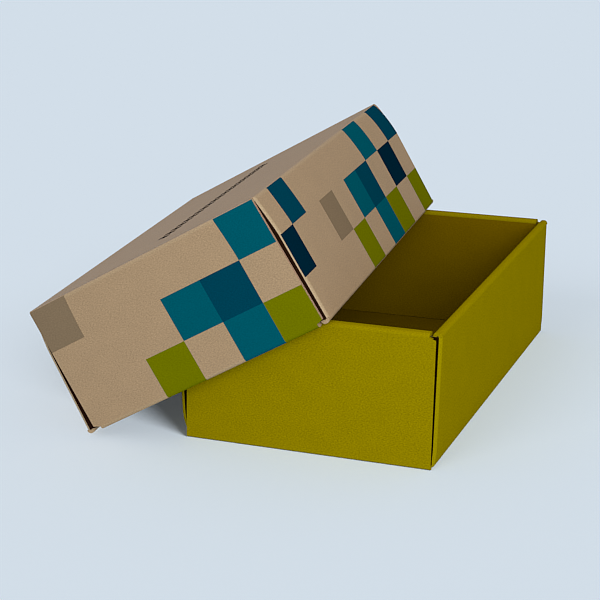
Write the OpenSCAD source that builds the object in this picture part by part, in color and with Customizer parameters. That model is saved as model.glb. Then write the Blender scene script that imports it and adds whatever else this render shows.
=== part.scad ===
// Lift-off lid gift box: two trays folded from corrugated board, an olive base
// and a kraft lid with a printed mosaic. Each tray is one sheet whose four walls
// roll over at the rim, so every wall is double. The long walls carry corner flaps
// that wrap behind the short end panels. The lid leans on the open base: its left
// rim stands on the ground and its right rim lies across the base's end walls.
// Origin: centre of the base's underside, +Z up, X across the short ends.

/* [Base] */
// Width of the base across its long walls
base_w = 120; // [90:1:180]
// Length of the base over its end panels
base_l = 205; // [150:1:300]
// Height of the base from underside to rim
base_h = 63.2; // [45:0.1:90]
// Outward lean of the base's long walls, in degrees
base_flare = 1.1; // [0:0.1:1.5]

/* [Lid] */
// Height of the lid from top panel to rim
lid_h = 63.6; // [45:0.1:90]
// Outward lean of the lid's left wall, in degrees
lid_flare_left = 3; // [0:0.1:4]
// Outward lean of the lid's right wall, in degrees
lid_flare_right = 1.5; // [0:0.1:3]
// Play across the width between the lid's inner faces and the base
lid_play_w = 1.2; // [0.8:0.1:6]
// Play along the length between the lid's inner faces and the base
lid_play_l = 5.9; // [1.5:0.1:8]

/* [Board] */
// Thickness of the board
board_t = 1.6; // [1:0.1:2.5]
// Outer radius of a crease
crease_r = 1.2; // [0.6:0.1:1.6]
// Air between the two layers of a long wall
side_gap = 0.8; // [0.3:0.1:2]
// Air between neighbouring layers of an end wall
layer_gap = 0.3; // [0.2:0.05:0.8]
// Air under the raw lower edge of an inner layer
foot_gap = 0.3; // [0.2:0.05:1]

/* [Corners] */
// Length of a corner flap, measured from the long wall's face
flap_l = 34; // [15:1:40]
// Outer radius of the upright corner between a long wall and its flap
corner_r = 2.1; // [1.8:0.1:3]
// Gap between a flap's edges and the folds above and below it
flap_gap = 0.4; // [0.2:0.05:1]
// How far an end panel's edge stops short of the corner at the fold
panel_inset = 0.4; // [0.2:0.1:1.5]
// How far an end panel tapers on each side from its fold to its rim
panel_taper = 1; // [0:0.1:2]
// Height of the sloping shoulder on each side of an end panel's roll
shoulder_h = 1; // [0.6:0.1:4]
// Height of the end panel's roll above its shoulders
roll_h = 1.8; // [1.7:0.1:4]
// Gap between an end wall's roll and the long walls' rolls
roll_gap = 0.6; // [0.3:0.1:1.5]

/* [Leaning lid] */
// How far the lid's right rim reaches across the base from its left face
lid_reach = 61; // [40:0.5:75]
// Gap left where the lid rests on the base, and at its tightest corner
seat_gap = 0.25; // [0.2:0.05:0.5]

/* [Print] */
// Side of one mosaic square
tile = 21.5; // [16:0.5:25]
// Thickness of a printed colour field
ink_t = 0.08; // [0.05:0.01:0.15]
// Side of one small square in the band on the lid's top
bead = 4; // [3:0.5:6]
// Length of the band on the lid's top
band_l = 160; // [100:4:170]

/* [Hidden] */
arc_steps = 6;
eps = 0.01;
hair = 0.02;

// Colours of the board and the inks
olive_board = [0.50, 0.47, 0.02];
kraft = [0.68, 0.58, 0.45];
teal = [0.00, 0.36, 0.42];
dark_teal = [0.00, 0.27, 0.34];
navy = [0.00, 0.19, 0.25];
olive_ink = [0.47, 0.50, 0.06];
taupe = [0.52, 0.47, 0.38];
black_ink = [0.05, 0.05, 0.05];

// Thickness of a rolled long wall, and of an end wall with the flap inside it
side_rim = 2*board_t + side_gap;
end_rim = 3*board_t + 2*layer_gap;
// Distance from an end panel's face to the start of a long wall's roll
corner_back = 2*board_t + 2*layer_gap;
// How far an end wall's strip of floor laps into the long walls' floor
floor_lap = 2*end_rim;

// The lid is sized to go over the base
lid_w = base_w + lid_play_w + 2*side_rim;
lid_l = base_l + lid_play_l + 2*end_rim;

// Whole mosaic squares across the front panel
front_columns = 5;

// Places of the mosaic squares as [column, row]. Rows count down from the lid's
// top. Columns count from the right on the front panel and from the front on the
// right wall.
front_teal = [[0, 0], [2, 1], [1, 2]];
front_dark = [[1, 1]];
front_olive = [[0, 2], [3, 2]];
side_teal = [[7, 0], [5, 1], [6, 2]];
side_dark = [[1, 0], [9, 0], [6, 1]];
side_navy = [[0, 1], [8, 1]];
side_olive = [[4, 2], [7, 2], [9, 2]];
side_taupe = [[3, 1]];

// Distance from a leaning wall's foot line to its plane at this depth and height
function lean_x(z, depth, flare) = (z*sin(flare) - depth)/cos(flare);

// Points of an arc from angle a to angle b about a centre
function arc(centre, r, a, b) =
    [for (i = [0:arc_steps]) let (s = a + (b - a)*i/arc_steps)
        [centre[0] + r*cos(s), centre[1] + r*sin(s)]];

// Section of a rolled wall of height h, thickness rim and lean flare. Its foot
// line is at x = 0, and its floor strip runs inwards by floor_run.
function wall_section(h, rim, flare, floor_run) = let (
    foot = [lean_x(crease_r, crease_r, flare), crease_r],
    outer = [lean_x(h - crease_r, crease_r, flare), h - crease_r],
    inner = [lean_x(h - crease_r, rim - crease_r, flare), h - crease_r],
    hem = board_t + foot_gap)
    concat(
        [[-floor_run, 0]],
        arc(foot, crease_r, -90, -flare),
        arc(outer, crease_r, -flare, 90),
        arc(inner, crease_r, 90, 180 - flare),
        [[lean_x(hem, rim, flare), hem],
         [lean_x(hem, rim - board_t, flare), hem],
         [lean_x(h - board_t, rim - board_t, flare), h - board_t],
         [lean_x(h - board_t, board_t, flare), h - board_t],
         [lean_x(board_t, board_t, flare), board_t],
         [-floor_run, board_t]]);

// Half width of an end panel at the fold and at its shoulders, and of its roll
function panel_half(w) = w/2 - panel_inset;
function roll_half(w) = w/2 - side_rim - roll_gap;

// Outline of an end panel in x and height: a slight taper, then the shoulders
module panel_outline(w, h) {
    fold = panel_half(w);
    shoulder = fold - panel_taper;
    roll = roll_half(w);
    polygon([
        [-fold, -eps], [fold, -eps],
        [shoulder, h - roll_h - shoulder_h], [roll, h - roll_h],
        [roll, h + eps], [-roll, h + eps],
        [-roll, h - roll_h], [-shoulder, h - roll_h - shoulder_h]]);
}

// Long wall on the +X side: fold, outer layer, rim and inner layer. The fold goes
// on past the wall's rim, as far as the flaps.
module long_wall(w, l, h, flare) {
    run = l - 2*corner_back;
    half = wrap_half(l) + hair;
    translate([w/2, 0, 0]) {
        intersection() {
            translate([0, half, 0])
                rotate([90, 0, 0])
                    linear_extrude(2*half)
                        polygon(wall_section(h, side_rim, flare, w/2));
            union() {
                translate([-w, -run/2, -eps])
                    cube([2*w, run, h + 2*eps]);
                corner_feet(half, flare);
            }
        }
        corner_wrap(l, h, flare);
    }
}

// Distance from a tray's middle to the outer face of a flap
function wrap_half(l) = l/2 - board_t - layer_gap;

// Room for the fold at both ends of a long wall: rounded as the wrap above it, and
// larger than the wrap by a hair. It ends just above the wrap's lower edge.
module corner_feet(half, flare) {
    rise = board_t + 2*flap_gap;
    rotate([0, flare, 0])
        translate([hair, 0, -crease_r])
            linear_extrude(crease_r + rise)
                intersection() {
                    wrap_outline(half, 0, corner_r);
                    translate([-corner_r, -half - eps])
                        square([2*corner_r, 2*half + 2*eps]);
                }
}

// Outer layer of a long wall with the flaps that wrap round both its ends, cut
// level above the floor and below the end walls' rolls. Its foot line is at x = 0,
// and it is thinner than the board by a hair on each side, so that no face of it
// lies in the plane of the rolled wall's own faces.
module corner_wrap(l, h, flare) {
    low = board_t + flap_gap;
    high = h - board_t - flap_gap;
    half = wrap_half(l);
    thick = board_t - 2*hair;
    clear = 2*flap_l;
    intersection() {
        rotate([0, flare, 0])
            translate([-hair, 0, 0])
                linear_extrude(h/cos(flare))
                    difference() {
                        wrap_outline(half, 0, corner_r);
                        wrap_outline(half, thick, corner_r - thick);
                    }
        translate([-clear, -l/2, low])
            cube([2*clear, l, high - low]);
    }
}

// Outline of the wrap, taken in by a depth, with its two corners rounded
module wrap_outline(half, depth, r) {
    out = half - depth;
    reach = depth > 0 ? flap_l + eps : flap_l;
    polygon(concat(
        [[-reach, -out]],
        arc([-depth - r, -out + r], r, -90, 0),
        arc([-depth - r, out - r], r, 0, 90),
        [[-reach, out]]));
}

// End wall on the +Y side: panel, roll and inner layer
module end_wall(w, l, h) {
    width = 2*panel_half(w);
    clear = floor_lap + end_rim;
    intersection() {
        translate([-width/2, l/2, 0])
            rotate([90, 0, 90])
                linear_extrude(width)
                    polygon(wall_section(h, end_rim, 0, floor_lap));
        union() {
            translate([0, l/2 + eps, 0])
                rotate([90, 0, 0])
                    linear_extrude(board_t + layer_gap/2 + eps)
                        panel_outline(w, h);
            translate([-roll_half(w), l/2 - clear, board_t])
                cube([2*roll_half(w), clear, h]);
            translate([-width/2, l/2 - clear, -eps])
                cube([width, clear, board_t + eps]);
        }
    }
}

// One tray, open side up, its underside at z = 0. The flares are those of its
// walls on +X and on -X.
module tray(w, l, h, flares) {
    for (side = [0, 1])
        mirror([side, 0, 0])
            long_wall(w, l, h, flares[side]);
    for (side = [0, 1])
        mirror([0, side, 0])
            end_wall(w, l, h);
}

// Where the lid's rims meet the ground and the base, in the lid's own section
crease_h = lid_h - crease_r;
left_foot = lid_w/2 + lean_x(crease_h, crease_r, lid_flare_left);
right_foot = lid_w/2 + lean_x(crease_h, side_rim - crease_r, lid_flare_right);
rim_span = left_foot + right_foot;
lean = asin((base_h + seat_gap)/rim_span);
contact_x = lid_reach - base_w/2;
pivot_x = (lid_reach - base_w)/2;
// The lid is turned until its end walls almost touch the base's corners
turn = asin((lid_play_l/2 - seat_gap)/(lid_reach/2 + side_rim));

// Takes a tray that stands open side up to the place of the leaning lid
module place_lid() {
    translate([pivot_x, 0, 0])
        rotate([0, 0, turn])
            translate([contact_x - pivot_x - rim_span*cos(lean), 0, crease_r])
                rotate([0, -lean, 0])
                    translate([left_foot, 0, crease_h])
                        rotate([180, 0, 0])
                            children();
}

// Squares of the front panel, cut to the panel's flat part
module front_tiles(cells) {
    edge = panel_half(lid_w);
    intersection() {
        for (cell = cells)
            translate([edge - (cell[0] + 1)*tile, cell[1]*tile])
                square(tile);
        panel_outline(lid_w, lid_h);
        translate([-lid_w/2, crease_r])
            square([lid_w, lid_h - 2*crease_r]);
    }
}

// Part of a square that is left at the front panel's far corner
module corner_tile() {
    left = -panel_half(lid_w);
    intersection() {
        translate([left, 0])
            square([2*panel_half(lid_w) - front_columns*tile, tile]);
        panel_outline(lid_w, lid_h);
        translate([-lid_w/2, crease_r])
            square([lid_w, lid_h - 2*crease_r]);
    }
}

// Squares of the right wall, cut to the wall's flat part
module side_tiles(cells) {
    run = lid_l - 2*corner_back;
    face = crease_h/cos(lid_flare_right);
    intersection() {
        for (cell = cells)
            translate([lid_l/2 - (cell[0] + 1)*tile, cell[1]*tile])
                square(tile);
        translate([-run/2, crease_r])
            square([run, face - crease_r]);
    }
}

// Two staggered rows of small squares along the middle of the lid's top
module top_band() {
    count = floor(band_l/(2*bead));
    for (i = [0:count - 1], row = [0, 1])
        translate([(row - 1)*bead, (2*i + row - count)*bead])
            square(bead - eps);
}

// Raises a drawing on the front panel, the right wall or the top of the lid
module on_front() {
    translate([0, lid_l/2 + ink_t, 0])
        rotate([90, 0, 0])
            linear_extrude(ink_t)
                children();
}

module on_side() {
    translate([lid_w/2, 0, 0])
        rotate([0, lid_flare_right, 0])
            rotate([90, 0, 90])
                linear_extrude(ink_t)
                    children();
}

module on_top() {
    translate([0, 0, -ink_t])
        linear_extrude(ink_t)
            children();
}

module base_tray() {
    color(olive_board)
        tray(base_w, base_l, base_h, [base_flare, base_flare]);
}

module lid_tray() {
    color(kraft)
        place_lid()
            tray(lid_w, lid_l, lid_h, [lid_flare_right, lid_flare_left]);
}

module print_teal() {
    color(teal)
        place_lid() {
            on_front() front_tiles(front_teal);
            on_side() side_tiles(side_teal);
        }
}

module print_dark_teal() {
    color(dark_teal)
        place_lid() {
            on_front() front_tiles(front_dark);
            on_side() side_tiles(side_dark);
        }
}

module print_navy() {
    color(navy)
        place_lid()
            on_side() side_tiles(side_navy);
}

module print_olive() {
    color(olive_ink)
        place_lid() {
            on_front() front_tiles(front_olive);
            on_side() side_tiles(side_olive);
        }
}

module print_taupe() {
    color(taupe)
        place_lid() {
            on_front() corner_tile();
            on_side() side_tiles(side_taupe);
        }
}

module print_black() {
    color(black_ink)
        place_lid()
            on_top() top_band();
}

base_tray();
lid_tray();
print_teal();
print_dark_teal();
print_navy();
print_olive();
print_taupe();
print_black();
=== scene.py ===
# %% [markdown]
# # A lift-off lid gift box, folded from two sheets of board
#
# The box is two open trays: an olive base and a bare kraft lid with a mosaic of
# plain squares, which leans across the base. Each tray is one sheet of corrugated
# board, cut flat and folded. This script follows the maker's steps: it cuts each
# blank as a flat pattern of cells, folds it with a rule, prints the lid, and then
# gives every surface its finish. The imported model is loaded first, as the frame
# that every piece has to fit.

# %% Load the frame
import math

import bpy
from mathutils import Matrix, Vector


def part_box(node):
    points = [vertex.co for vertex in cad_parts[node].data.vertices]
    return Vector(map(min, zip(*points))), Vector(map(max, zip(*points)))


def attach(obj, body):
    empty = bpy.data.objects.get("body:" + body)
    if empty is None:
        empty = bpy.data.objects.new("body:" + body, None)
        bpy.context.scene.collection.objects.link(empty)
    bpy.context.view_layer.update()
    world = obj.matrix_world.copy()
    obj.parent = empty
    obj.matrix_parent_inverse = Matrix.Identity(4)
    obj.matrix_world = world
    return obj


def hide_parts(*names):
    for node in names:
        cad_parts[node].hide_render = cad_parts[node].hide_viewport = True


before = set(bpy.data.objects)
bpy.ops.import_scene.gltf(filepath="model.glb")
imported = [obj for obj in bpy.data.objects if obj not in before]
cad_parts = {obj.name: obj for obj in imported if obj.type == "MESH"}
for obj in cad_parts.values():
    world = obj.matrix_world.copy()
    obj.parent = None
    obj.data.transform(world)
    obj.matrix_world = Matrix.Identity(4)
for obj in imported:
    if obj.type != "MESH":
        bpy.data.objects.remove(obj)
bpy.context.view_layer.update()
MM = 0.001
print("frame nodes:", ", ".join(sorted(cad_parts)))

# %% [markdown]
# ## The sizes of the two trays
#
# A folded tray has few driving sizes: its width, length and height, the board's thickness, and how far its
# long walls spring outwards. They are kept in millimetres, as on a die maker's drawing. The base's length
# and height come from the frame, which holds the real object's box, and its width is given. The lid's width
# and length follow from the base, the play between them and the thickness of its rolled walls, and its
# height is given.

# %% Driving sizes
BOARD = 1.6  # thickness of the board
CREASE = 1.2  # outer radius of a crease
SIDE_GAP = 0.8  # air between the two layers of a long wall
LAYER_GAP = 0.3  # air between the layers of an end wall
FOOT_GAP = 0.3  # air under the raw lower edge of an inner layer
FLAP = 34.0  # length of a corner flap
CORNER = 2.1  # outer radius of the upright corners
FLAP_BACK = 0.6  # how much further back than the corner's own depth a pressed flap lies
FLAP_PRESS = 0.75  # share of its thickness that a pressed flap keeps
FLAP_GAP = 0.4  # gap between a flap's edges and the folds beside it
PANEL_INSET = 0.4  # how far an end panel stops short of the corner
PANEL_TAPER = 1.0  # how far an end panel narrows towards its rim
SHOULDER = 1.0  # height of the sloping shoulder of an end panel
ROLL = 1.8  # height of the roll above the shoulder
ROLL_ON = 1.8  # how far a long wall's roll runs on towards the corner
ROLL_GAP = 0.6  # gap between an end wall's roll and the long walls' rolls
RIM_CREASE = 1.7  # outer radius of the two softer creases along a rim
PLAY_WIDE, PLAY_LONG = 1.2, 5.9  # play of the lid on the base
TILE = 21.5  # side of one printed square
ROW = TILE / 10  # height of one row of cells on a wall

SIDE_RIM = 2 * BOARD + SIDE_GAP
END_RIM = 3 * BOARD + 2 * LAYER_GAP
low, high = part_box("base_tray")
BASE_WIDTH = 120.0  # between the lower creases of the long walls
BASE_LENGTH = (high.y - low.y) / MM
BASE_HEIGHT = high.z / MM
LID_HEIGHT = 63.6
BASE_FLARE = 1.1  # outward lean of the base's long walls, in degrees
LID_FLARE_RIGHT, LID_FLARE_LEFT = 1.5, 3.0


class Tray:
    """The sizes of one tray. Flares are the outward lean of its right and left walls, in degrees,
    and front is the end, 1 or -1, that the camera sees."""

    def __init__(self, width, length, height, flare_right, flare_left, front):
        self.width, self.length, self.height, self.front = width, length, height, front
        self.flare = {1: math.radians(flare_right), -1: math.radians(flare_left)}
        self.corner_start = length / 2 - BOARD - LAYER_GAP - FLAP_BACK - CORNER
        self.panel_half = width / 2 - PANEL_INSET
        self.roll_half = width / 2 - SIDE_RIM - ROLL_GAP


base = Tray(BASE_WIDTH, BASE_LENGTH, BASE_HEIGHT, BASE_FLARE, BASE_FLARE, front=-1)
lid = Tray(
    BASE_WIDTH + PLAY_WIDE + 2 * SIDE_RIM,
    BASE_LENGTH + PLAY_LONG + 2 * END_RIM,
    LID_HEIGHT,
    LID_FLARE_RIGHT,
    LID_FLARE_LEFT,
    front=1,
)
for name, tray in (("base", base), ("lid", lid)):
    print(f"{name}: {tray.width:.1f} x {tray.length:.1f} x {tray.height:.1f} mm")

# %% [markdown]
# ## The camera
#
# The photograph was taken with a long lens from the front right, a little above
# the box. A long lens keeps upright edges nearly parallel. Working out the place
# of the camera from the corners of both trays gave the values below, which are
# kept as a place, two angles and a small roll.

# %% Camera
CAMERA_PLACE = (0.2511, -0.7573, 0.2961)
CAMERA_AZIMUTH = math.radians(21.17)
CAMERA_ELEVATION = math.radians(17.66)
CAMERA_ROLL = math.radians(-0.60)
CAMERA_LENS = 100.77

camera_data = bpy.data.cameras.new("camera")
camera_data.lens = CAMERA_LENS
camera_data.sensor_width = 36.0
camera_data.clip_start = 0.05
camera = bpy.data.objects.new("camera", camera_data)
camera.matrix_world = (
    Matrix.Translation(CAMERA_PLACE)
    @ Matrix.Rotation(CAMERA_AZIMUTH, 4, "Z")
    @ Matrix.Rotation(math.pi / 2 - CAMERA_ELEVATION, 4, "X")
    @ Matrix.Rotation(CAMERA_ROLL, 4, "Z")
)
bpy.context.scene.collection.objects.link(camera)
bpy.context.scene.camera = camera
print("camera with a lens of", CAMERA_LENS, "mm")

# %% [markdown]
# ## The section of a rolled wall
#
# Every wall is double: the board rises from the floor, turns over the rim in two
# creases and comes down inside, where its raw edge stops just above the floor.
# One drawing of that section serves all the walls. The board has two skins, so
# the section is kept as pairs of points, one on the printed outside and its
# partner on the inside. On the outside a crease is an arc. On the inside the
# board is crushed, so all the points of an arc share one partner, a sharp corner.

# %% Wall section
ARC_STEPS = 6  # cells round each crease
RIM_ROWS = 2 * (ARC_STEPS + 1)  # pairs of points in the two creases of a rim
INNER_ROWS = 10  # cells down an inner layer
CREASE_WEAR_AND_HIGHLIGHT = 0.4  # how pale a crease is painted, for wear and a painted highlight, from 0 to 1


def lean_x(z, depth, flare):
    """Distance from the wall's foot line to its plane at this depth and height."""
    return (z * math.sin(flare) - depth) / math.cos(flare)


def arc(centre, radius, start, end, steps=ARC_STEPS):
    """Points of an arc, with its angles in radians."""
    turns = [start + (end - start) * i / steps for i in range(steps + 1)]
    return [(centre[0] + radius * math.cos(t), centre[1] + radius * math.sin(t)) for t in turns]


def between(a, b, steps):
    """Points that divide the line from a to b, without its ends."""
    return [tuple(p + (q - p) * i / steps for p, q in zip(a, b)) for i in range(1, steps)]


def wall_section(height, rim, flare, heights):
    """Pairs of outside and inside points from the floor to the raw edge, each with how pale it is painted
    for wear and a painted highlight.
    heights lists where the outer layer needs a line."""
    foot = (lean_x(CREASE, CREASE, flare), CREASE)
    bend = height - RIM_CREASE
    outer = (lean_x(bend, RIM_CREASE, flare), bend)
    inner = (lean_x(bend, rim - RIM_CREASE, flare), bend)
    hem = BOARD + FOOT_GAP

    def skin(z, depth):
        return (lean_x(z, depth, flare), z)

    floor_corner = skin(BOARD, BOARD)
    rim_corner = skin(height - BOARD, BOARD)
    inner_corner = skin(height - BOARD, rim - BOARD)
    pairs = [(p, floor_corner, CREASE_WEAR_AND_HIGHLIGHT) for p in arc(foot, CREASE, -math.pi / 2, -flare)]
    for z in heights:
        pairs.append((skin(z, 0), skin(z, BOARD), 0))
    pairs += [(p, rim_corner, CREASE_WEAR_AND_HIGHLIGHT) for p in arc(outer, RIM_CREASE, -flare, math.pi / 2)]
    pairs += [(p, inner_corner, CREASE_WEAR_AND_HIGHLIGHT) for p in arc(inner, RIM_CREASE, math.pi / 2, math.pi - flare)]
    top, bottom, bottom_in = skin(bend, rim), skin(hem, rim), skin(hem, rim - BOARD)
    for p, q in zip(between(top, bottom, INNER_ROWS), between(inner_corner, bottom_in, INNER_ROWS)):
        pairs.append((p, q, 0))
    pairs.append((bottom, bottom_in, 0))
    return pairs


print("pairs in a bare section:", len(wall_section(base.height, SIDE_RIM, base.flare[1], [])))

# %% [markdown]
# ## A sheet that is cut flat and then folded
#
# A blank could be modelled as a box with bevels, but then nothing would follow
# the folds: not the paper's grain, not the print. Here a sheet is a set of
# four-cornered cells. Each corner has a place on both skins and its place on the
# flat blank, which becomes its UV. Cells that share corners join up by themselves,
# and wherever a cell has no neighbour the board was cut, so a raw edge closes the
# two skins. The result is one closed shell for one folded sheet, like the real one.
#
# Every face takes one of four finishes: the printed outside, the inside, a raw cut edge, or a near-black
# painted shade for a slit that no light reaches. On the base the inside is itself a darker painted shade.

# %% The sheet
# The last place is a painted shade: near black, for slits that no light reaches.
OUTSIDE, INSIDE, RAW, PAINTED_SLIT_SHADE = 0, 1, 2, 3  # places in a piece's list of materials
SHARP = math.radians(40)  # a fold sharper than this keeps a hard edge
WELD = 3  # corners join up if they agree to this many decimals of a millimetre


class Sheet:
    """A folded sheet in the making: corners with two skins, and the cells between them."""

    def __init__(self):
        self.corners, self.index, self.cells = [], {}, []

    def corner(self, outside, inside, wear_and_highlight=0.0):
        key = tuple(round(c, WELD) for c in (*outside, *inside))
        if key not in self.index:
            self.index[key] = len(self.corners)
            self.corners.append((outside, inside, wear_and_highlight))
        return self.index[key]

    def grid(self, rows, flat, keep=lambda i, j: True, skin=lambda i, j: OUTSIDE, cut=lambda i, j: RAW):
        """Cells of a grid of (outside, inside, wear) corners, with flat(i, j) their place on the blank,
        skin(i, j) the finish of their outside and cut(i, j) that of their cut edges."""
        made = [[self.corner(*c) for c in row] for row in rows]
        for i in range(len(made) - 1):
            for j in range(len(made[i]) - 1):
                if keep(i, j):
                    ring = [(i, j), (i, j + 1), (i + 1, j + 1), (i + 1, j)]
                    self.cells.append(([(made[a][b], flat(a, b)) for a, b in ring], skin(i, j), cut(i, j)))

    def build(self, name, settle):
        """One mesh object: both skins, and raw edges where a cell has no neighbour."""
        points = [Vector(o) for o, i, w in self.corners] + [Vector(i) for o, i, w in self.corners]
        half = len(self.corners)
        faces, uvs, edges, slots, sides = [], [], [], [], {}
        for cell, finish, cut in self.cells:
            ids, flat = [c for c, f in cell], [f for c, f in cell]
            for a in range(4):
                b = (a + 1) % 4
                side = (ids[a], ids[b], flat[a], flat[b], cut)
                sides.setdefault(frozenset(side[:2]), []).append(side)
            faces += [ids, [half + c for c in reversed(ids)]]
            uvs += [flat, list(reversed(flat))]
            edges += [[(0.0, 0.0)] * 4] * 2
            slots += [finish, INSIDE]
        for found in sides.values():
            if len(found) == 1 and found[0][0] != found[0][1]:
                a, b, fa, fb, cut = found[0]
                faces.append([b, a, half + a, half + b])
                uvs.append([fb, fa, fa, fb])
                ta, tb = (sum(f) * MM for f in (fa, fb))
                edges.append([(tb, 0.0), (ta, 0.0), (ta, 1.0), (tb, 1.0)])
                slots.append(cut)
        welded, keep = {}, []
        for p in points:
            keep.append(welded.setdefault(tuple(round(c, WELD) for c in p), len(welded)))
        places = [None] * len(welded)
        wear_and_highlight = [0.0] * len(welded)
        for n, p in enumerate(points):
            places[keep[n]] = settle(p) * MM
            wear_and_highlight[keep[n]] = max(wear_and_highlight[keep[n]], self.corners[n % half][2])
        clean = []
        for face, uv, edge, slot in zip(faces, uvs, edges, slots):
            ring = []
            for corner in zip((keep[v] for v in face), uv, edge):
                if not ring or corner[0] != ring[-1][0]:
                    ring.append(corner)
            if ring[0][0] == ring[-1][0]:
                ring.pop()
            if len({corner[0] for corner in ring}) >= 3:
                clean.append((ring, slot))
        mesh = bpy.data.meshes.new(name)
        mesh.from_pydata(places, [], [[corner[0] for corner in ring] for ring, slot in clean])
        blank, cut = mesh.uv_layers.new(name="blank"), mesh.uv_layers.new(name="cut")
        loop = 0
        for polygon, (ring, slot) in zip(mesh.polygons, clean):
            polygon.material_index = slot
            polygon.use_smooth = True
            for v, place, edge in ring:
                blank.data[loop].uv = (place[0] * MM, place[1] * MM)
                cut.data[loop].uv = edge
                loop += 1
        mesh.attributes.new("wear_and_highlight", "FLOAT", "POINT").data.foreach_set("value", wear_and_highlight)
        mesh.validate()
        mesh.set_sharp_from_angle(angle=SHARP)
        piece = bpy.data.objects.new(name, mesh)
        bpy.context.scene.collection.objects.link(piece)
        return piece


# %% [markdown]
# ## How folded board settles
#
# A folded tray is never square. The board is stiff along its flutes, so a crease
# draws the wall in at its foot and the wall can bulge a little above it. The end
# panels, which only hang on one fold, slide to one side at their rims. The whole
# tray can also stand slightly out of true. Each of these is one small number in
# millimetres, and one function takes any point of the tray to its settled place,
# so that everything printed or cut on the board moves with it. Only the bulge is
# added as a wall is folded, because the end panels don't share it.

# %% Settling
# How far each long wall is drawn in at its fold, and the height at which that ends
base.draw, base.draw_height = 0.8, 8.0
lid.draw, lid.draw_height = 2.2, 20.0
DRAW_POWER = 1.3  # above 1, the draw fades faster close to the fold
# How far the front panel slides towards +X at its rim
base.slide, lid.slide = 0.8, 1.1
# How far the front end of the whole tray is shifted towards +X, and its back end towards -X
base.skew, lid.skew = -0.7, 0.6
# How far the rims lean towards +X, and how far outwards, at the front end and at the back end
base.rack, lid.rack = (1.0, -0.3), (0.0, 0.5)
base.lean_out, lid.lean_out = (-0.7, -0.5), (0.5, 0.2)
# How far the right and left walls bulge outwards, and how high above the fold they do so
base.bulge, lid.bulge = {1: 0.0, -1: 2.7}, {1: 0.0, -1: 0.0}
BULGE_HEIGHT = 5.0
# How far the right wall swells out at its far end, how high above the fold, and how it fades
base.swell, lid.swell = 0.0, 2.6
SWELL_HEIGHT, SWELL_POWER = 6.0, 2


def drawn_in(tray, z):
    """Share of its width that a long wall keeps at a height above the fold."""
    rest = max(0.0, 1 - z / tray.draw_height) ** DRAW_POWER
    return 1 - 2 * tray.draw * rest / tray.width


def bulged(tray, side, z):
    """How far a long wall bulges outwards beside the end panels at a height."""
    return tray.bulge[side] * (1 - math.exp(-max(z, 0) / BULGE_HEIGHT))


def panel_shift(tray, end):
    """How far an end panel slides sideways for each millimetre of height."""
    return tray.slide / tray.height if end == tray.front else 0.0


def settle(tray, p):
    """The settled place of a point of the tray."""
    ahead = (1 + tray.front * p.y / (tray.length / 2)) / 2
    up = p.z / tray.height
    x = p.x * drawn_in(tray, max(p.z, 0))
    if p.x > 0:
        rest = max(0.0, 1 - ahead) ** SWELL_POWER * max(0.0, 1 - up)
        x += tray.swell * rest * (1 - math.exp(-max(p.z, 0) / SWELL_HEIGHT))
    x += tray.skew * (2 * ahead - 1) + up * (tray.rack[0] * ahead + tray.rack[1] * (1 - ahead))
    y = p.y + tray.front * up * (tray.lean_out[0] * ahead - tray.lean_out[1] * (1 - ahead))
    return Vector((x, y, p.z))


print(f"the lid's top is {lid.width * drawn_in(lid, 0):.1f} mm wide between its creases")

# %% [markdown]
# ## Folding the tray
#
# The long walls run between the upright corners, and their outer layer goes on
# round each corner as a flap that lies behind the end panel. The corner keeps
# the wall's own section, so its lower crease runs on round it. The end panels
# have no rounded corners: their raw edges stop at a slit, and sloping shoulders
# lead to a roll that is narrower than the panel.
#
# The inner layers show the same printed skin, but far less light reaches them, so on the base they are
# painted a darker olive, a painted shade; the lid's inside keeps its kraft colour. A flap lies deep in its
# slit, so from the last cell of the corner's turn that daylight reaches it is painted near black, a painted
# shade.


# %% Lines of the blank
WALL_COLUMNS, FLOOR_COLUMNS = 36, 24  # cells along a long wall and across the floor
TURN_STEPS, FLAP_STEPS = 8, 6  # cells round an upright corner and along its flap
ROW_GAP = 0.5  # least height of a cell beside a fold
# Cells of a corner's turn that daylight reaches, on the right wall and on the left; the cells past them and
# the flaps are painted with near-black slit shade
base.lit, lid.lit = {1: 6, -1: 8}, {1: 5, -1: 7}


def spread(start, end, steps):
    return [start + (end - start) * i / steps for i in range(steps + 1)]


def row_heights(tray):
    """Heights of the rows of cells on a wall."""
    return [ROW * i for i in range(1, int(tray.height / ROW) + 1)]


def side_rows(tray):
    """Heights of the lines of cells on a long wall, between the two that its flaps start from."""
    under, over = BOARD + FLAP_GAP, tray.height - BOARD - FLAP_GAP
    return [under] + [z for z in row_heights(tray) if under + ROW_GAP < z < over - ROW_GAP] + [over]


def shoulders(tray):
    """Heights at which an end panel's sloping shoulders start and end."""
    return tray.height - ROLL - SHOULDER, tray.height - ROLL


def end_rows(tray):
    """Heights of the lines of cells on an end panel and its shoulders."""
    shoulder_z, roll_z = shoulders(tray)
    rows = [z for z in row_heights(tray) if CREASE + ROW_GAP < z < shoulder_z - ROW_GAP]
    return rows + spread(shoulder_z, roll_z, 2)


def lengths(points):
    """Distance along a line of points, from its first one."""
    total, out = 0.0, [0.0]
    for a, b in zip(points, points[1:]):
        total += math.dist(a, b)
        out.append(total)
    return out


def plan(tray, step, depth):
    """A point of the outline that the outer layer follows seen from above, taken in by a depth.
    step is ("wall", y), ("turn", angle) or ("flap", distance)."""
    kind, value = step
    if kind == "wall":
        return (-depth, value)
    centre = (-CORNER, tray.corner_start)
    depth = depth * (1 + (FLAP_PRESS - 1) * (value / (math.pi / 2) if kind == "turn" else 1))
    if kind == "turn":
        radius = CORNER - depth
        return (centre[0] + radius * math.cos(value), centre[1] + radius * math.sin(value))
    return (centre[0] - value, centre[1] + CORNER - depth)


print("lines of cells on the lid's long and end walls:", len(side_rows(lid)), "and", len(end_rows(lid)))


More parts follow.
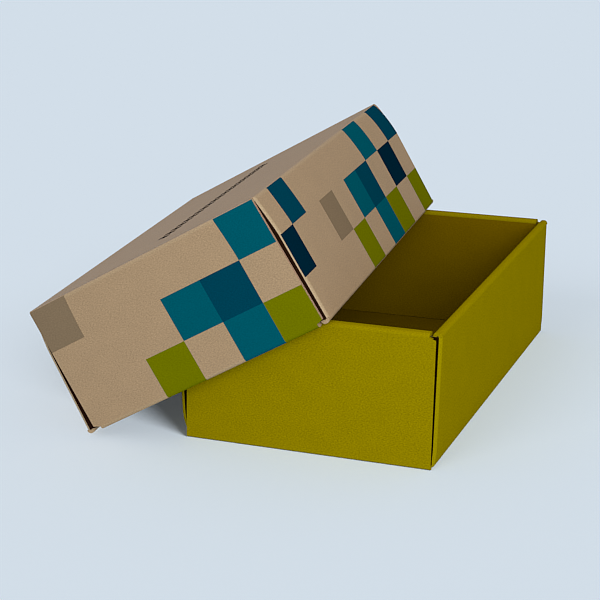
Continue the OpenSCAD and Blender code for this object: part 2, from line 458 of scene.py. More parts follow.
# %% Long walls and their flaps
def long_wall(sheet, tray, side):
    """The wall on +X or, mirrored, on -X, with a flap at each of its ends."""
    flare = tray.flare[side]
    heights = side_rows(tray)
    section = wall_section(tray.height, SIDE_RIM, flare, heights)
    run = lengths([p for p, q, w in section])
    along = spread(-tray.corner_start, tray.corner_start, WALL_COLUMNS)

    def place(point, y):
        return (side * (tray.width / 2 + point[0] + bulged(tray, side, point[1] - CREASE)), y, point[1])

    rows = [[(place(p, y), place(q, y), w) for y in along] for p, q, w in section]
    first_flat = ARC_STEPS + 1
    last_flat = first_flat + len(heights)
    rim_end = last_flat + RIM_ROWS - 1
    sheet.grid(
        rows if side == 1 else [row[::-1] for row in rows],
        lambda i, j: (tray.width / 2 + run[i], along[j] if side == 1 else along[-1 - j]),
        skin=lambda i, j: INSIDE if i >= rim_end else OUTSIDE,
    )
    levels = section[:last_flat]
    turns = [("wall", tray.corner_start)] + [("turn", a) for a in spread(0, math.pi / 2, TURN_STEPS)[1:]]
    flaps = [("flap", s) for s in spread(0, FLAP - CORNER, FLAP_STEPS)[1:]]
    path = turns + flaps
    path_run = lengths([plan(tray, s, 0) for s in path])
    for end in (1, -1):

        def corner(level, step, outer):
            point, other, wear_and_highlight = level
            x, z = point if outer else other
            depth = z * math.sin(flare) - x * math.cos(flare)
            rise = z * math.cos(flare) + x * math.sin(flare)
            px, py = plan(tray, step, depth)
            up = rise * math.cos(flare) - px * math.sin(flare)
            out = px * math.cos(flare) + rise * math.sin(flare) + bulged(tray, side, z - CREASE)
            return (side * (tray.width / 2 + out), end * py, up)

        reach = [tray.corner_start, tray.corner_start + ROLL_ON]
        ends = [end * y for y in (reach if side * end > 0 else reversed(reach))]
        rolled = section[last_flat - 1 : rim_end + 2]
        sheet.grid(
            [[(place(p, y), place(q, y), w) for y in ends] for p, q, w in rolled],
            lambda i, j: (tray.width / 2 + run[last_flat - 1 + i], ends[j]),
            cut=lambda i, j: OUTSIDE,
        )
        rows = []
        for level in levels:
            row = []
            for n, step in enumerate(path):
                # The whole turn of an upright corner is painted pale: a painted highlight where the rounded
                # corner faces the light.
                worn_and_highlit = 1.0 if 0 < n < len(turns) else level[2]
                row.append((corner(level, step, True), corner(level, step, False), worn_and_highlit))
            rows.append(row)
        flip = side * end < 0

        def past_wall(j):
            return len(path) - 2 - j if flip else j

        sheet.grid(
            [row[::-1] for row in rows] if flip else rows,
            lambda i, j: (
                tray.width / 2 + run[i],
                end * (tray.corner_start + path_run[-1 - j if flip else j]),
            ),
            keep=lambda i, j: i >= first_flat or past_wall(j) < TURN_STEPS,
            # past the cells that daylight reaches, the turn and its flap are painted with near-black slit
            # shade
            skin=lambda i, j: PAINTED_SLIT_SHADE if past_wall(j) >= tray.lit[side] else OUTSIDE,
        )


# %% Floor and end walls
CLOSE = 1e-6  # lines closer together than this are the same


def floor_lines(tray):
    """The lines across the floor that the end walls share."""
    edge = tray.width / 2 - CREASE
    return [-edge] + spread(-edge, edge, FLOOR_COLUMNS)[1:-1] + [edge]


def foot_x(tray, side, depth):
    """How far from the middle a long wall's lower crease starts, on the skin at this depth."""
    return tray.width / 2 + lean_x(depth, depth, tray.flare[side])


def floor(sheet, tray):
    """The floor between the four lower creases. Its inside skin stops at the creases' sharp corners."""
    xs = floor_lines(tray)
    start = tray.corner_start
    end = tray.length / 2 - CREASE
    ys = [-end] + spread(-start, start, WALL_COLUMNS) + [end]

    def corner(x, y):
        out_x = in_x = x
        if abs(x) == xs[-1]:
            side = 1 if x > 0 else -1
            out_x, in_x = side * foot_x(tray, side, CREASE), side * foot_x(tray, side, BOARD)
        in_y = math.copysign(tray.length / 2 - BOARD, y) if abs(y) == end else y
        return ((out_x, y, 0.0), (in_x, in_y, BOARD), 0.0)

    rows = [[corner(x, y) for x in xs] for y in ys]
    sheet.grid([row[::-1] for row in rows], lambda i, j: (xs[-1 - j], ys[i]))


def half_width(tray, z, rolled):
    """Half the width of an end wall at a height of its outer layer, or of its roll. The panel's
    edges are straight once the lower creases have drawn in."""
    fold = tray.panel_half * drawn_in(tray, 0)
    shoulder = tray.panel_half - PANEL_TAPER
    shoulder_z, roll_z = shoulders(tray)
    if rolled or z >= roll_z:
        return tray.roll_half
    if z >= shoulder_z:
        t = (z - shoulder_z) / SHOULDER
        return shoulder + (tray.roll_half - shoulder) * t
    return (fold + (shoulder - fold) * z / shoulder_z) / drawn_in(tray, z)


def end_wall(sheet, tray, end):
    """The wall on +Y or -Y: panel, roll and inner layer, all from one strip of varying width."""
    heights = end_rows(tray)
    rim_start = ARC_STEPS + 1 + len(heights)
    rim_end = rim_start + RIM_ROWS - 1
    section = wall_section(tray.height, END_RIM, 0.0, heights)
    run = lengths([p for p, q, w in section])
    foot_edge = floor_lines(tray)[-1]
    shares = [-1.0] + [x / tray.panel_half for x in floor_lines(tray)] + [1.0]

    def corner(n, share):
        p, q, wear_and_highlight = section[n]
        width = half_width(tray, p[1], n >= rim_start)
        x_out = x_in = share * width
        side = 1 if share > 0 else -1
        if n == 0 and abs(abs(share) * tray.panel_half - foot_edge) < CLOSE:
            x_out, x_in = side * foot_x(tray, side, CREASE), side * foot_x(tray, side, BOARD)
        shift = panel_shift(tray, end)
        return (
            (x_out + shift * p[1], end * (tray.length / 2 + p[0]), p[1]),
            (x_in + shift * q[1], end * (tray.length / 2 + q[0]), q[1]),
            wear_and_highlight,
        )

    def edge_finish(i):
        """A panel's cut edge is raw on the lid and painted with near-black slit shade on the base, and a
        rim's is printed.
        """
        if tray is lid:
            return RAW if ARC_STEPS < i < rim_start else OUTSIDE
        return PAINTED_SLIT_SHADE if ARC_STEPS < i < rim_start - 2 else OUTSIDE

    rows = [[corner(n, s) for s in shares] for n in range(len(section))]
    if end == 1:
        rows = [row[::-1] for row in rows]
    sheet.grid(
        rows,
        lambda i, j: (
            shares[-1 - j if end == 1 else j] * tray.panel_half,
            end * (tray.length / 2 + run[i]),
        ),
        skin=lambda i, j: INSIDE if i >= rim_end else OUTSIDE,
        cut=lambda i, j: edge_finish(i),
    )


def fold_tray(name, tray, settle):
    """The whole tray as one folded sheet."""
    sheet = Sheet()
    floor(sheet, tray)
    for side in (1, -1):
        long_wall(sheet, tray, side)
        end_wall(sheet, tray, side)
    piece = sheet.build(name, settle)
    print(f"{name}: {len(piece.data.polygons)} faces from {len(sheet.cells)} cells of the blank")
    return piece


# %% [markdown]
# ## Where the lid leans
#
# The lid lies upside down, open side down. Its left rim stands on the ground and
# its right rim lies across the base's end walls, so the lean follows from the
# base's height, and the small turn from the play between the two trays.

# %% Place of the lid
LID_REACH = 61.0  # how far the lid's right rim reaches over the base, from the base's left side
SEAT = 0.25  # air between the lid and what it rests on
crease_z = lid.height - CREASE
left_foot = lid.width / 2 + lean_x(crease_z, CREASE, lid.flare[-1])
right_foot = lid.width / 2 + lean_x(crease_z, SIDE_RIM - CREASE, lid.flare[1])
rim_span = left_foot + right_foot
lean = math.asin((base.height + SEAT) / rim_span)
contact_x = LID_REACH - base.width / 2
pivot_x = (LID_REACH - base.width) / 2
turn = math.asin((PLAY_LONG / 2 - SEAT) / (LID_REACH / 2 + SIDE_RIM))
LID_PLACE = (
    Matrix.Translation((pivot_x, 0, 0))
    @ Matrix.Rotation(turn, 4, "Z")
    @ Matrix.Translation((contact_x - pivot_x - rim_span * math.cos(lean), 0, CREASE))
    @ Matrix.Rotation(-lean, 4, "Y")
    @ Matrix.Translation((left_foot, 0, crease_z))
    @ Matrix.Rotation(math.pi, 4, "X")
)
print(f"the lid leans {math.degrees(lean):.1f} degrees and is turned {math.degrees(turn):.2f} degrees")


def settle_base(p):
    return settle(base, p)


def settle_lid(p):
    return LID_PLACE @ settle(lid, p)


# %% Fold both trays
base_piece = fold_tray("base_box", base, settle_base)
lid_piece = fold_tray("lid_box", lid, settle_lid)
for piece, node in ((base_piece, "base_tray"), (lid_piece, "lid_tray")):
    low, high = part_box(node)
    found_low = [min(v.co[a] for v in piece.data.vertices) for a in range(3)]
    found_high = [max(v.co[a] for v in piece.data.vertices) for a in range(3)]
    off = max(abs(a - b) for a, b in zip((*low, *high), (*found_low, *found_high)))
    print(f"{piece.name} is within {off / MM:.2f} mm of the box of {node}")

# %% [markdown]
# ## The board's finishes
#
# Kraft board is a felt of brown fibres, lighter and darker by a few percent, with a grain along the sheet.
# Ink dulls the fibres but doesn't hide them. The grain follows the blank's UV, so it runs on over every
# fold, and creases are painted paler: partly wear where the fold has opened the fibres, partly a painted
# highlight, strongest round the upright corners. A cut edge has a UV of its own, which runs along the edge
# and through the board, to draw the two liners and the fluting. Where little light reaches, the board is
# painted darker: a painted shade inside the base and a near-black painted shade in the slits.


# %% Paper materials
FINE, CROSS, CLOUD = (12, 0.45, 0.8), (-38, 0.5, 0.9), (0, 9.0, 14.0)  # turn, width, length of fibres
FINE_SHARE, CROSS_SHARE, CLOUD_SHARE = 0.50, 0.42, 0.08
RELIEF_DEPTH = 0.0001  # in metres
FLUTE = 3.2  # length of one wave of the fluting
WAVE_HEIGHT, WAVE_HALF, LINER_START = 0.32, 0.14, 0.34  # from the board's middle, as shares of it


def link(tree, source, target):
    tree.links.new(source, target)


def math_node(tree, operation, a, b):
    made = tree.nodes.new("ShaderNodeMath")
    made.operation = operation
    for socket, value in zip(made.inputs, (a, b)):
        if isinstance(value, (int, float)):
            socket.default_value = value
        else:
            link(tree, value, socket)
    return made.outputs[0]


def fibre_noise(tree, uv, turn_deg, across, along, detail=3.0):
    """Noise drawn out along the fibres, between 0 and 1, on the flat blank."""
    mapping = tree.nodes.new("ShaderNodeMapping")
    mapping.inputs["Rotation"].default_value = (0, 0, math.radians(turn_deg))
    mapping.inputs["Scale"].default_value = (1 / (along * MM), 1 / (across * MM), 1.0)
    link(tree, uv, mapping.inputs["Vector"])
    noise = tree.nodes.new("ShaderNodeTexNoise")
    noise.inputs["Scale"].default_value = 1.0
    noise.inputs["Detail"].default_value = detail
    link(tree, mapping.outputs[0], noise.inputs["Vector"])
    return noise.outputs["Fac"]


def new_material(name, roughness, gloss, uv_map):
    """A material, with its tree, its shader and one of the piece's UV maps."""
    material = bpy.data.materials.new(name)
    material.use_nodes = True
    tree = material.node_tree
    shader = tree.nodes["Principled BSDF"]
    shader.inputs["Roughness"].default_value = roughness
    shader.inputs["Specular IOR Level"].default_value = gloss
    uv_node = tree.nodes.new("ShaderNodeUVMap")
    uv_node.uv_map = uv_map
    return material, tree, shader, uv_node.outputs[0]


def paper(name, colour, mottle, worn_and_highlit=None, wear_and_highlight_share=0.5, roughness=0.75, relief=0.15, gloss=0.0):
    """A paper finish: colour with a mottle of fibres, creases painted paler for wear and a painted
    highlight, and a slight relief.
    """
    material, tree, shader, uv = new_material(name, roughness, gloss, "blank")
    fine = fibre_noise(tree, uv, *FINE)
    cross = fibre_noise(tree, uv, *CROSS)
    cloud = fibre_noise(tree, uv, *CLOUD, detail=2.0)
    felt = math_node(tree, "MULTIPLY", fine, FINE_SHARE)
    for noise, part in ((cross, CROSS_SHARE), (cloud, CLOUD_SHARE)):
        felt = math_node(tree, "ADD", felt, math_node(tree, "MULTIPLY", noise, part))
    spread_value = math_node(tree, "MULTIPLY", math_node(tree, "SUBTRACT", felt, 0.5), mottle)
    level = math_node(tree, "ADD", spread_value, 1.0)
    mix = tree.nodes.new("ShaderNodeMix")
    mix.data_type = "RGBA"
    mix.blend_type = "MULTIPLY"
    mix.inputs["Factor"].default_value = 1.0
    mix.inputs["A"].default_value = (*colour, 1.0)
    combine = tree.nodes.new("ShaderNodeCombineColor")
    for socket in combine.inputs:
        link(tree, level, socket)
    link(tree, combine.outputs[0], mix.inputs["B"])
    result = mix.outputs["Result"]
    if worn_and_highlit is not None:
        # Creases are painted paler by this attribute: wear, and a painted highlight.
        attribute = tree.nodes.new("ShaderNodeAttribute")
        attribute.attribute_name = "wear_and_highlight"
        patches = math_node(tree, "MULTIPLY", fine, 2 * wear_and_highlight_share)
        share = math_node(tree, "MULTIPLY", attribute.outputs["Fac"], patches)
        fade = tree.nodes.new("ShaderNodeMix")
        fade.data_type = "RGBA"
        link(tree, share, fade.inputs["Factor"])
        link(tree, result, fade.inputs["A"])
        fade.inputs["B"].default_value = (*worn_and_highlit, 1.0)
        result = fade.outputs["Result"]
    link(tree, result, shader.inputs["Base Color"])
    bump = tree.nodes.new("ShaderNodeBump")
    bump.inputs["Strength"].default_value = relief
    bump.inputs["Distance"].default_value = RELIEF_DEPTH
    link(tree, felt, bump.inputs["Height"])
    link(tree, bump.outputs[0], shader.inputs["Normal"])
    return material


def cut_board(name, liner, core):
    """A cut edge: two pale liners, and between them the waves of the fluting with dark gaps."""
    material, tree, shader, uv = new_material(name, roughness=0.85, gloss=0.0, uv_map="cut")
    parts = tree.nodes.new("ShaderNodeSeparateXYZ")
    link(tree, uv, parts.inputs[0])
    turns = math_node(tree, "MULTIPLY", parts.outputs["X"], 2 * math.pi / (FLUTE * MM))
    wave = math_node(tree, "MULTIPLY", math_node(tree, "SINE", turns, 0.0), WAVE_HEIGHT)
    middle = math_node(tree, "SUBTRACT", parts.outputs["Y"], 0.5)
    off_wave = math_node(tree, "ABSOLUTE", math_node(tree, "SUBTRACT", middle, wave), 0.0)
    paper_line = math_node(tree, "LESS_THAN", off_wave, WAVE_HALF)
    liners = math_node(tree, "GREATER_THAN", math_node(tree, "ABSOLUTE", middle, 0.0), LINER_START)
    mix = tree.nodes.new("ShaderNodeMix")
    mix.data_type = "RGBA"
    link(tree, math_node(tree, "MAXIMUM", paper_line, liners), mix.inputs["Factor"])
    mix.inputs["A"].default_value = (*core, 1.0)
    mix.inputs["B"].default_value = (*liner, 1.0)
    link(tree, mix.outputs["Result"], shader.inputs["Base Color"])
    return material


# %% Finishes of the two trays
KRAFT = (0.33, 0.220, 0.118)
# Pale kraft that creases are painted towards: crease wear, with a painted highlight.
KRAFT_WORN_AND_HIGHLIT = (0.52, 0.42, 0.25)
# Near-black painted shade for the slits beside the upright corners.
KRAFT_PAINTED_SLIT_SHADE = (0.02, 0.008, 0.004)
OLIVE = (0.237, 0.18, 0.0)
# Pale olive that creases are painted towards: crease wear, with a painted highlight.
OLIVE_WORN_AND_HIGHLIT = (0.30, 0.24, 0.0)
# A darker, browner olive painted as shade inside the base, where far less light reaches.
OLIVE_INSIDE_PAINTED_SHADE = (0.17, 0.105, 0.0)
# Near-black painted shade for the base's slits.
OLIVE_PAINTED_SLIT_SHADE = (0.012, 0.005, 0.0)
RAW_EDGE, RAW_CORE = (0.42, 0.27, 0.18), (0.26, 0.15, 0.09)
RAW_OLIVE, RAW_OLIVE_CORE = (0.22, 0.18, 0.03), (0.10, 0.07, 0.01)
kraft_board = paper("kraft board", KRAFT, 1.5, KRAFT_WORN_AND_HIGHLIT, 0.28, roughness=0.6, gloss=0.35)
kraft_slit = paper("kraft board in a slit", KRAFT_PAINTED_SLIT_SHADE, 0.5)
olive_slit = paper("olive board in a slit", OLIVE_PAINTED_SLIT_SHADE, 0.5)
kraft_inside = paper("kraft board inside", KRAFT, 2.0)
olive_board = paper("olive board", OLIVE, 1.6, OLIVE_WORN_AND_HIGHLIT, 0.5)
olive_inside_painted_shade = paper("olive board inside with painted shade", OLIVE_INSIDE_PAINTED_SHADE, 1.6)
raw_edge = cut_board("raw board edge", RAW_EDGE, RAW_CORE)
raw_olive = cut_board("raw olive board edge", RAW_OLIVE, RAW_OLIVE_CORE)

for piece, finishes in (
    (base_piece, (olive_board, olive_inside_painted_shade, raw_olive, olive_slit)),
    (lid_piece, (kraft_board, kraft_inside, raw_edge, kraft_slit)),
):
    for finish in finishes:
        piece.data.materials.append(finish)
    print(f"{piece.name} has", ", ".join(finish.name for finish in finishes))

# %% [markdown]
# ## The mosaic on the lid
#
# The lid is printed while it is flat: plain squares that run down from the top
# crease on two walls, and a band of small squares along the top. They could be
# painted by one material that asks where a point lies, but then each ink's shape
# would be lost to whoever takes the mesh alone. Here a Geometry Nodes tree sets a
# flat square on each cell of a grid, and each square is then pressed on its wall
# as a film of ink, with the section that the board was folded by.


# %% Squares by Geometry Nodes
def squares_tree():
    """Sets one flat square on each point, with its first corner on the point."""
    tree = bpy.data.node_groups.new("squares on cells", "GeometryNodeTree")
    for label, kind in (("Cells", "Geometry"), ("Side", "Float"), ("Gap", "Float"), ("Ink", "Material")):
        tree.interface.new_socket(label, in_out="INPUT", socket_type="NodeSocket" + kind)
    tree.interface.new_socket("Squares", in_out="OUTPUT", socket_type="NodeSocketGeometry")
    given, result = tree.nodes.new("NodeGroupInput"), tree.nodes.new("NodeGroupOutput")
    less = tree.nodes.new("ShaderNodeMath")
    less.operation = "SUBTRACT"
    half = tree.nodes.new("ShaderNodeMath")
    half.operation = "MULTIPLY"
    half.inputs[1].default_value = 0.5
    corner = tree.nodes.new("ShaderNodeCombineXYZ")
    square = tree.nodes.new("GeometryNodeMeshGrid")
    square.inputs["Vertices X"].default_value = 2
    square.inputs["Vertices Y"].default_value = 2
    move = tree.nodes.new("GeometryNodeTransform")
    place = tree.nodes.new("GeometryNodeInstanceOnPoints")
    realize = tree.nodes.new("GeometryNodeRealizeInstances")
    ink = tree.nodes.new("GeometryNodeSetMaterial")
    for source, target in (
        (given.outputs["Side"], less.inputs[0]),
        (given.outputs["Gap"], less.inputs[1]),
        (less.outputs[0], square.inputs["Size X"]),
        (less.outputs[0], square.inputs["Size Y"]),
        (given.outputs["Side"], half.inputs[0]),
        (half.outputs[0], corner.inputs["X"]),
        (half.outputs[0], corner.inputs["Y"]),
        (square.outputs["Mesh"], move.inputs["Geometry"]),
        (corner.outputs[0], move.inputs["Translation"]),
        (given.outputs["Cells"], place.inputs["Points"]),
        (move.outputs[0], place.inputs["Instance"]),
        (place.outputs[0], realize.inputs[0]),
        (realize.outputs[0], ink.inputs["Geometry"]),
        (given.outputs["Ink"], ink.inputs["Material"]),
        (ink.outputs[0], result.inputs[0]),
    ):
        tree.links.new(source, target)
    return tree


SQUARES = squares_tree()
print("nodes that set the squares:", len(SQUARES.nodes))


def flat_squares(name, cells, side, ink, gap=0.0):
    """The flat squares of one ink on one face, as (u, v, u end, v end) in millimetres."""
    mesh = bpy.data.meshes.new(name)
    mesh.from_pydata([(column * side, row * side, 0) for column, row in cells], [], [])
    plate = bpy.data.objects.new(name, mesh)
    bpy.context.scene.collection.objects.link(plate)
    modifier = plate.modifiers.new("squares", "NODES")
    modifier.node_group = SQUARES
    sockets = {i.name: i.identifier for i in SQUARES.interface.items_tree if i.in_out == "INPUT"}
    for label, value in (("Side", side), ("Gap", gap), ("Ink", ink)):
        modifier[sockets[label]] = value
    seen = plate.evaluated_get(bpy.context.evaluated_depsgraph_get())
    made = bpy.data.meshes.new_from_object(seen)
    bpy.data.objects.remove(plate)
    found = []
    for polygon in made.polygons:
        corners = [made.vertices[v].co for v in polygon.vertices]
        us, vs = [c.x for c in corners], [c.y for c in corners]
        found.append((min(us), min(vs), max(us), max(vs)))
    return found


# %% Walls that take the print
FILM_OUT, FILM_IN = 0.04, 0.02  # an ink's faces, above and below the paper's
PRINT_COLUMNS = 4  # cells across one printed square
LEVEL_GAP = 0.01  # least distance between two levels of a print


class Face:
    """A wall's outer skin, from its lower crease to the top of its rim, by height along the board."""

    def __init__(self, tray, rim, flare, heights):
        section = wall_section(tray.height, rim, flare, heights)
        points = [p for p, q, w in section][: RIM_ROWS + len(heights)]
        run = lengths(points)
        middle = ARC_STEPS // 2
        self.start_run = run[ARC_STEPS]
        self.levels = [CREASE + r - run[ARC_STEPS] for r in run[middle:]]
        self.points = points[middle:]
        ahead = self.points[1:] + [(self.points[-1][0] - 1, self.points[-1][1])]
        behind = [self.points[0]] + self.points[:-1]
        self.normals = []
        for a, b in zip(behind, ahead):
            along = Vector((b[0] - a[0], b[1] - a[1])).normalized()
            self.normals.append((along.y, -along.x))

    def at(self, level, lift):
        """The point of the skin at a level, raised off it."""
        level = min(max(level, self.levels[0]), self.levels[-1])
        n = max(i for i, v in enumerate(self.levels[:-1]) if v <= level)
        t = (level - self.levels[n]) / (self.levels[n + 1] - self.levels[n])
        return [
            (1 - t) * (a + lift * c) + t * (b + lift * d)
            for a, b, c, d in zip(self.points[n], self.points[n + 1], self.normals[n], self.normals[n + 1])
        ]

    def lines(self, low, high):
        """Levels between two, with the two themselves, at which the skin bends."""
        low, high = max(low, self.levels[0]), min(high, self.levels[-1])
        return [low] + [v for v in self.levels if low + LEVEL_GAP < v < high - LEVEL_GAP] + [high]


front_face = Face(lid, END_RIM, 0.0, end_rows(lid))
side_face = Face(lid, SIDE_RIM, lid.flare[1], side_rows(lid))
print("levels on the front:", len(front_face.levels), "on the side:", len(side_face.levels))


def print_front(sheet, squares):
    """Presses squares on the front panel. Their u runs from the panel's right edge."""
    rim_level = front_face.levels[-ARC_STEPS]  # where the roll over the rim starts
    for u, v, u_end, v_end in squares:
        levels = front_face.lines(v, v_end)
        across = spread(u, u_end, PRINT_COLUMNS)

        def corner(level, u_here):
            pair = []
            for lift in (FILM_OUT, -FILM_IN):
                out, z = front_face.at(level, lift)
                edge = half_width(lid, z, level > rim_level)
                x = min(max(lid.panel_half - u_here, -edge), edge)
                pair.append((x + panel_shift(lid, 1) * z, lid.length / 2 + out, z))
            return (*pair, 0.0)

        sheet.grid(
            [[corner(level, c) for c in across] for level in levels],
            lambda i, j: (
                lid.panel_half - across[j],
                lid.length / 2 + front_face.start_run + levels[i] - CREASE,
            ),
        )


PRINT_RISE, PRINT_LEAD = 1.6, 0.8  # how far the side print lies towards the top and the front
PRINT_STRETCH, STRETCH_FROM = 0.1, 7  # how much wider its columns are from this one on
QUARTER_TURN = CORNER * math.pi / 2  # length of the skin round an upright corner
NEAR_TURN, FAR_TURN = 1.3, QUARTER_TURN  # how far the print runs on round the two corners


def side_y(u):
    """Where a line of the print lies along the right wall. The last columns are a little wider."""
    u += PRINT_STRETCH * max(0.0, u - STRETCH_FROM * TILE) - PRINT_LEAD
    return min(max(lid.length / 2 - u, -lid.corner_start - FAR_TURN), lid.corner_start + NEAR_TURN)


def print_side(sheet, squares):
    """Presses squares on the right wall and its turns. Their u runs from the lid's front end."""
    for u, v, u_end, v_end in squares:
        levels = side_face.lines(v - PRINT_RISE, v_end - PRINT_RISE)
        start, end = side_y(u), side_y(u_end)
        stops = [y for y in (lid.corner_start, -lid.corner_start) if end < y < start]
        round_corner = spread(0, QUARTER_TURN, TURN_STEPS)[1:]
        bends = [math.copysign(lid.corner_start + r, y) for y in stops for r in round_corner]
        along = spread(start, end, PRINT_COLUMNS) + stops + [y for y in bends if end < y < start]
        along = sorted(set(along), reverse=True)

        def corner(level, y):
            pair = []
            turn = max(0.0, abs(y) - lid.corner_start) / CORNER
            for lift in (FILM_OUT, -FILM_IN):
                out, z = side_face.at(level, lift)
                out += (CORNER + lift) * (math.cos(turn) - 1)
                past = math.copysign((CORNER + lift) * math.sin(turn), y) if turn else 0.0
                flat_y = math.copysign(min(abs(y), lid.corner_start), y)
                pair.append((lid.width / 2 + out, flat_y + past, z))
            return (*pair, 0.0)

        sheet.grid(
            [[corner(level, y) for y in reversed(along)] for level in levels],
            lambda i, j: (lid.width / 2 + side_face.start_run + levels[i] - CREASE, along[-1 - j]),
        )


def print_top(sheet, squares, shift):
    """Presses squares on the top, which is the outside of the tray's floor."""
    for x, y, x_end, y_end in squares:
        xs, ys = (x + shift[0], x_end + shift[0]), (y + shift[1], y_end + shift[1])
        rows = [[((a, b, -FILM_OUT), (a, b, FILM_IN), 0.0) for a in reversed(xs)] for b in ys]
        sheet.grid(rows, lambda i, j: (xs[1 - j], ys[i]))


# %% Inks
TEAL, DARK_TEAL, NAVY = (0.0, 0.078, 0.105), (0.0, 0.043, 0.071), (0.0, 0.015, 0.030)
OLIVE_INK, TAUPE, BLACK = (0.133, 0.140, 0.0), (0.194, 0.138, 0.082), (0.003, 0.003, 0.003)
INK_MOTTLE = 0.9
BEAD, BEAD_COUNT, BEAD_GAP = 4.0, 20, 0.02  # side of a small square, how many pairs, and their gap
front_columns = int(2 * lid.panel_half / TILE)
# Each ink's colour, and its squares on the front and on the right wall as (column, row)
INKS = {
    "teal": (TEAL, [(0, 0), (2, 1), (1, 2)], [(7, 0), (5, 1), (6, 2)]),
    "dark_teal": (DARK_TEAL, [(1, 1)], [(1, 0), (9, 0), (6, 1)]),
    "navy": (NAVY, [], [(0, 1), (8, 1)]),
    "olive": (OLIVE_INK, [(0, 2), (3, 2)], [(4, 2), (7, 2), (9, 2)]),
    "taupe": (TAUPE, [(front_columns, 0)], [(3, 1)]),
    "black": (BLACK, [], []),
}
prints = {}
for name, (colour, front_cells, side_cells) in INKS.items():
    ink = paper(name.replace("_", " ") + " ink", colour, INK_MOTTLE)
    sheet = Sheet()
    if front_cells:
        print_front(sheet, flat_squares(name + "_front", front_cells, TILE, ink))
    if side_cells:
        print_side(sheet, flat_squares(name + "_side", side_cells, TILE, ink))
    if name == "black":
        beads = [(row, 2 * i + row) for i in range(BEAD_COUNT) for row in (0, 1)]
        squares = flat_squares("band", beads, BEAD, ink, gap=BEAD_GAP)
        print_top(sheet, squares, (-BEAD, -BEAD * BEAD_COUNT))
    piece = sheet.build("print_" + name + "_film", settle_lid)
    for _ in (OUTSIDE, INSIDE, RAW):  # an ink film has the same finish all over
        piece.data.materials.append(ink)
    prints[name] = piece
    print(f"{piece.name}: {len(piece.data.polygons)} faces")

# %% [markdown]
# ## Ground and light
#
# The box was photographed on a seamless pale ground, on which only the base casts
# a soft shadow. Light linking keeps each lamp to what it is for, as flags do in a
# studio. Two suns light the ground, and only the base shades it from them. A wide
# dome and a softbox from the front right light the box and not the ground, and a
# bluish sun from the left lights the lid alone.

# %% Ground
GROUND = (0.76, 0.86, 0.96)
HALF_GROUND = 60.0  # in metres, so that its far edge lies almost on the horizon
GROUND_DROP = 0.0001  # how far it lies under the box
QUARTERS = ((-1, -1), (1, -1), (1, 1), (-1, 1))
ring = [(x * HALF_GROUND, y * HALF_GROUND, -GROUND_DROP) for x, y in QUARTERS]
ground_mesh = bpy.data.meshes.new("ground")
ground_mesh.from_pydata(ring, [], [(0, 1, 2, 3)])
ground = bpy.data.objects.new("ground", ground_mesh)
bpy.context.scene.collection.objects.link(ground)
ground_finish = bpy.data.materials.new("ground")
ground_finish.use_nodes = True
ground_shader = ground_finish.node_tree.nodes["Principled BSDF"]
ground_shader.inputs["Base Color"].default_value = (*GROUND, 1.0)
ground_shader.inputs["Roughness"].default_value = 0.9
ground_shader.inputs["Specular IOR Level"].default_value = 0.0
ground_mesh.materials.append(ground_finish)
print("the ground is", 2 * HALF_GROUND, "m wide")

# %% Light
WORLD = 0.3  # strength of the even light from all round
scene = bpy.context.scene
scene.view_settings.view_transform = "Standard"
world = bpy.data.worlds.new("studio")
world.use_nodes = True
world.node_tree.nodes["Background"].inputs["Color"].default_value = (1.0, 1.0, 1.0, 1.0)
world.node_tree.nodes["Background"].inputs["Strength"].default_value = WORLD
scene.world = world


def sun(name, azimuth, elevation, strength, spread_deg):
    """A lamp as far as the sun: azimuth 0 shines from the front, 90 from the right."""
    data = bpy.data.lights.new(name, "SUN")
    data.energy = strength
    data.angle = math.radians(spread_deg)
    lamp = bpy.data.objects.new(name, data)
    lamp.matrix_world = Matrix.Rotation(math.radians(azimuth), 4, "Z") @ Matrix.Rotation(
        math.radians(90 - elevation), 4, "X"
    )
    scene.collection.objects.link(lamp)
    return lamp


def softbox(name, place, target, size, power):
    """A square lamp that faces a point."""
    data = bpy.data.lights.new(name, "AREA")
    data.shape, data.size, data.energy = "SQUARE", size, power
    lamp = bpy.data.objects.new(name, data)
    facing = (Vector(target) - Vector(place)).to_track_quat("-Z", "Y")
    lamp.matrix_world = Matrix.Translation(place) @ facing.to_matrix().to_4x4()
    scene.collection.objects.link(lamp)
    return lamp


def group_of(name, things):
    """A collection for light linking. It isn't part of the scene."""
    group = bpy.data.collections.new(name)
    for thing in things:
        group.objects.link(thing)
    return group


def light_only(lamp, name, things, shaded_by=None):
    """Keeps a lamp's light, and its shadows too, to some things, as flags do in a studio."""
    lamp.light_linking.receiver_collection = group_of(name, things)
    if shaded_by:
        lamp.light_linking.blocker_collection = group_of(name + ", shaded", shaded_by)


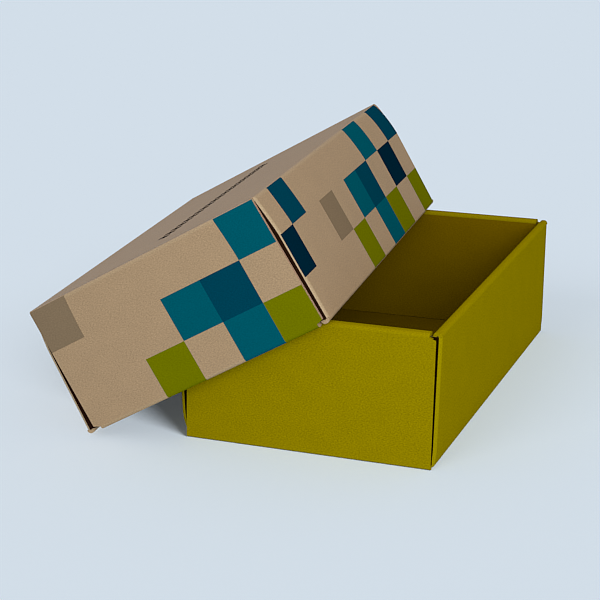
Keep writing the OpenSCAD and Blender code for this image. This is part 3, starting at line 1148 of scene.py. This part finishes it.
pieces = (base_piece, lid_piece, *prints.values())
ground_lamp = sun("ground lamp", 58, 30, 3.0, 30)
ground_fill = sun("ground fill", -20, 30, 0.45, 30)
sky = sun("sky from the left", -90, 60, 0.8, 60)
sky.data.color = (0.37, 0.52, 1.0)
dome = sun("dome", 10, 65, 1.28, 170)
dome.data.color = (1.0, 0.95, 0.9)
front = softbox("front softbox", (0.42, -0.66, 0.40), (0.0, 0.0, 0.05), 0.4, 4.15)
front.data.color = (0.95, 0.97, 1.0)
light_only(ground_lamp, "ground alone", (ground,), (base_piece,))
light_only(ground_fill, "ground filled", (ground,), (base_piece,))
light_only(dome, "box under the dome", pieces)
light_only(sky, "lid under the sky", (lid_piece, *prints.values()))
light_only(front, "box before the softbox", pieces)

# %% [markdown]
# ## Sharpening
#
# The photograph was sharpened, which leaves a fine line on either side of every
# edge. The same is done to the finished picture. It is done to the values as they
# are shown, not to the light itself, so the picture is taken there and back.

# %% Sharpening
DISPLAY_GAMMA, SHARPENING = 2.2, 0.07
scene.use_nodes = True
film = scene.node_tree
film.nodes.clear()
layers = film.nodes.new("CompositorNodeRLayers")
to_display = film.nodes.new("CompositorNodeGamma")
to_display.inputs["Gamma"].default_value = 1 / DISPLAY_GAMMA
sharpen = film.nodes.new("CompositorNodeFilter")
sharpen.filter_type = "SHARPEN"
sharpen.inputs["Fac"].default_value = SHARPENING
to_linear = film.nodes.new("CompositorNodeGamma")
to_linear.inputs["Gamma"].default_value = DISPLAY_GAMMA
written = film.nodes.new("CompositorNodeComposite")
chain = (layers, to_display, sharpen, to_linear, written)
for source, target in zip(chain, chain[1:]):
    film.links.new(source.outputs["Image"], target.inputs["Image"])
print("the picture is sharpened by", SHARPENING)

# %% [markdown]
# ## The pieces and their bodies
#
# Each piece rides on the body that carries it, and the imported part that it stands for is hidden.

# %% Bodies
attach(base_piece, "base")
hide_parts("base_tray")
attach(lid_piece, "lid")
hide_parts("lid_tray")
for name, piece in prints.items():
    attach(piece, "lid")
    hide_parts("print_" + name)
print("pieces handed over:", len(pieces))
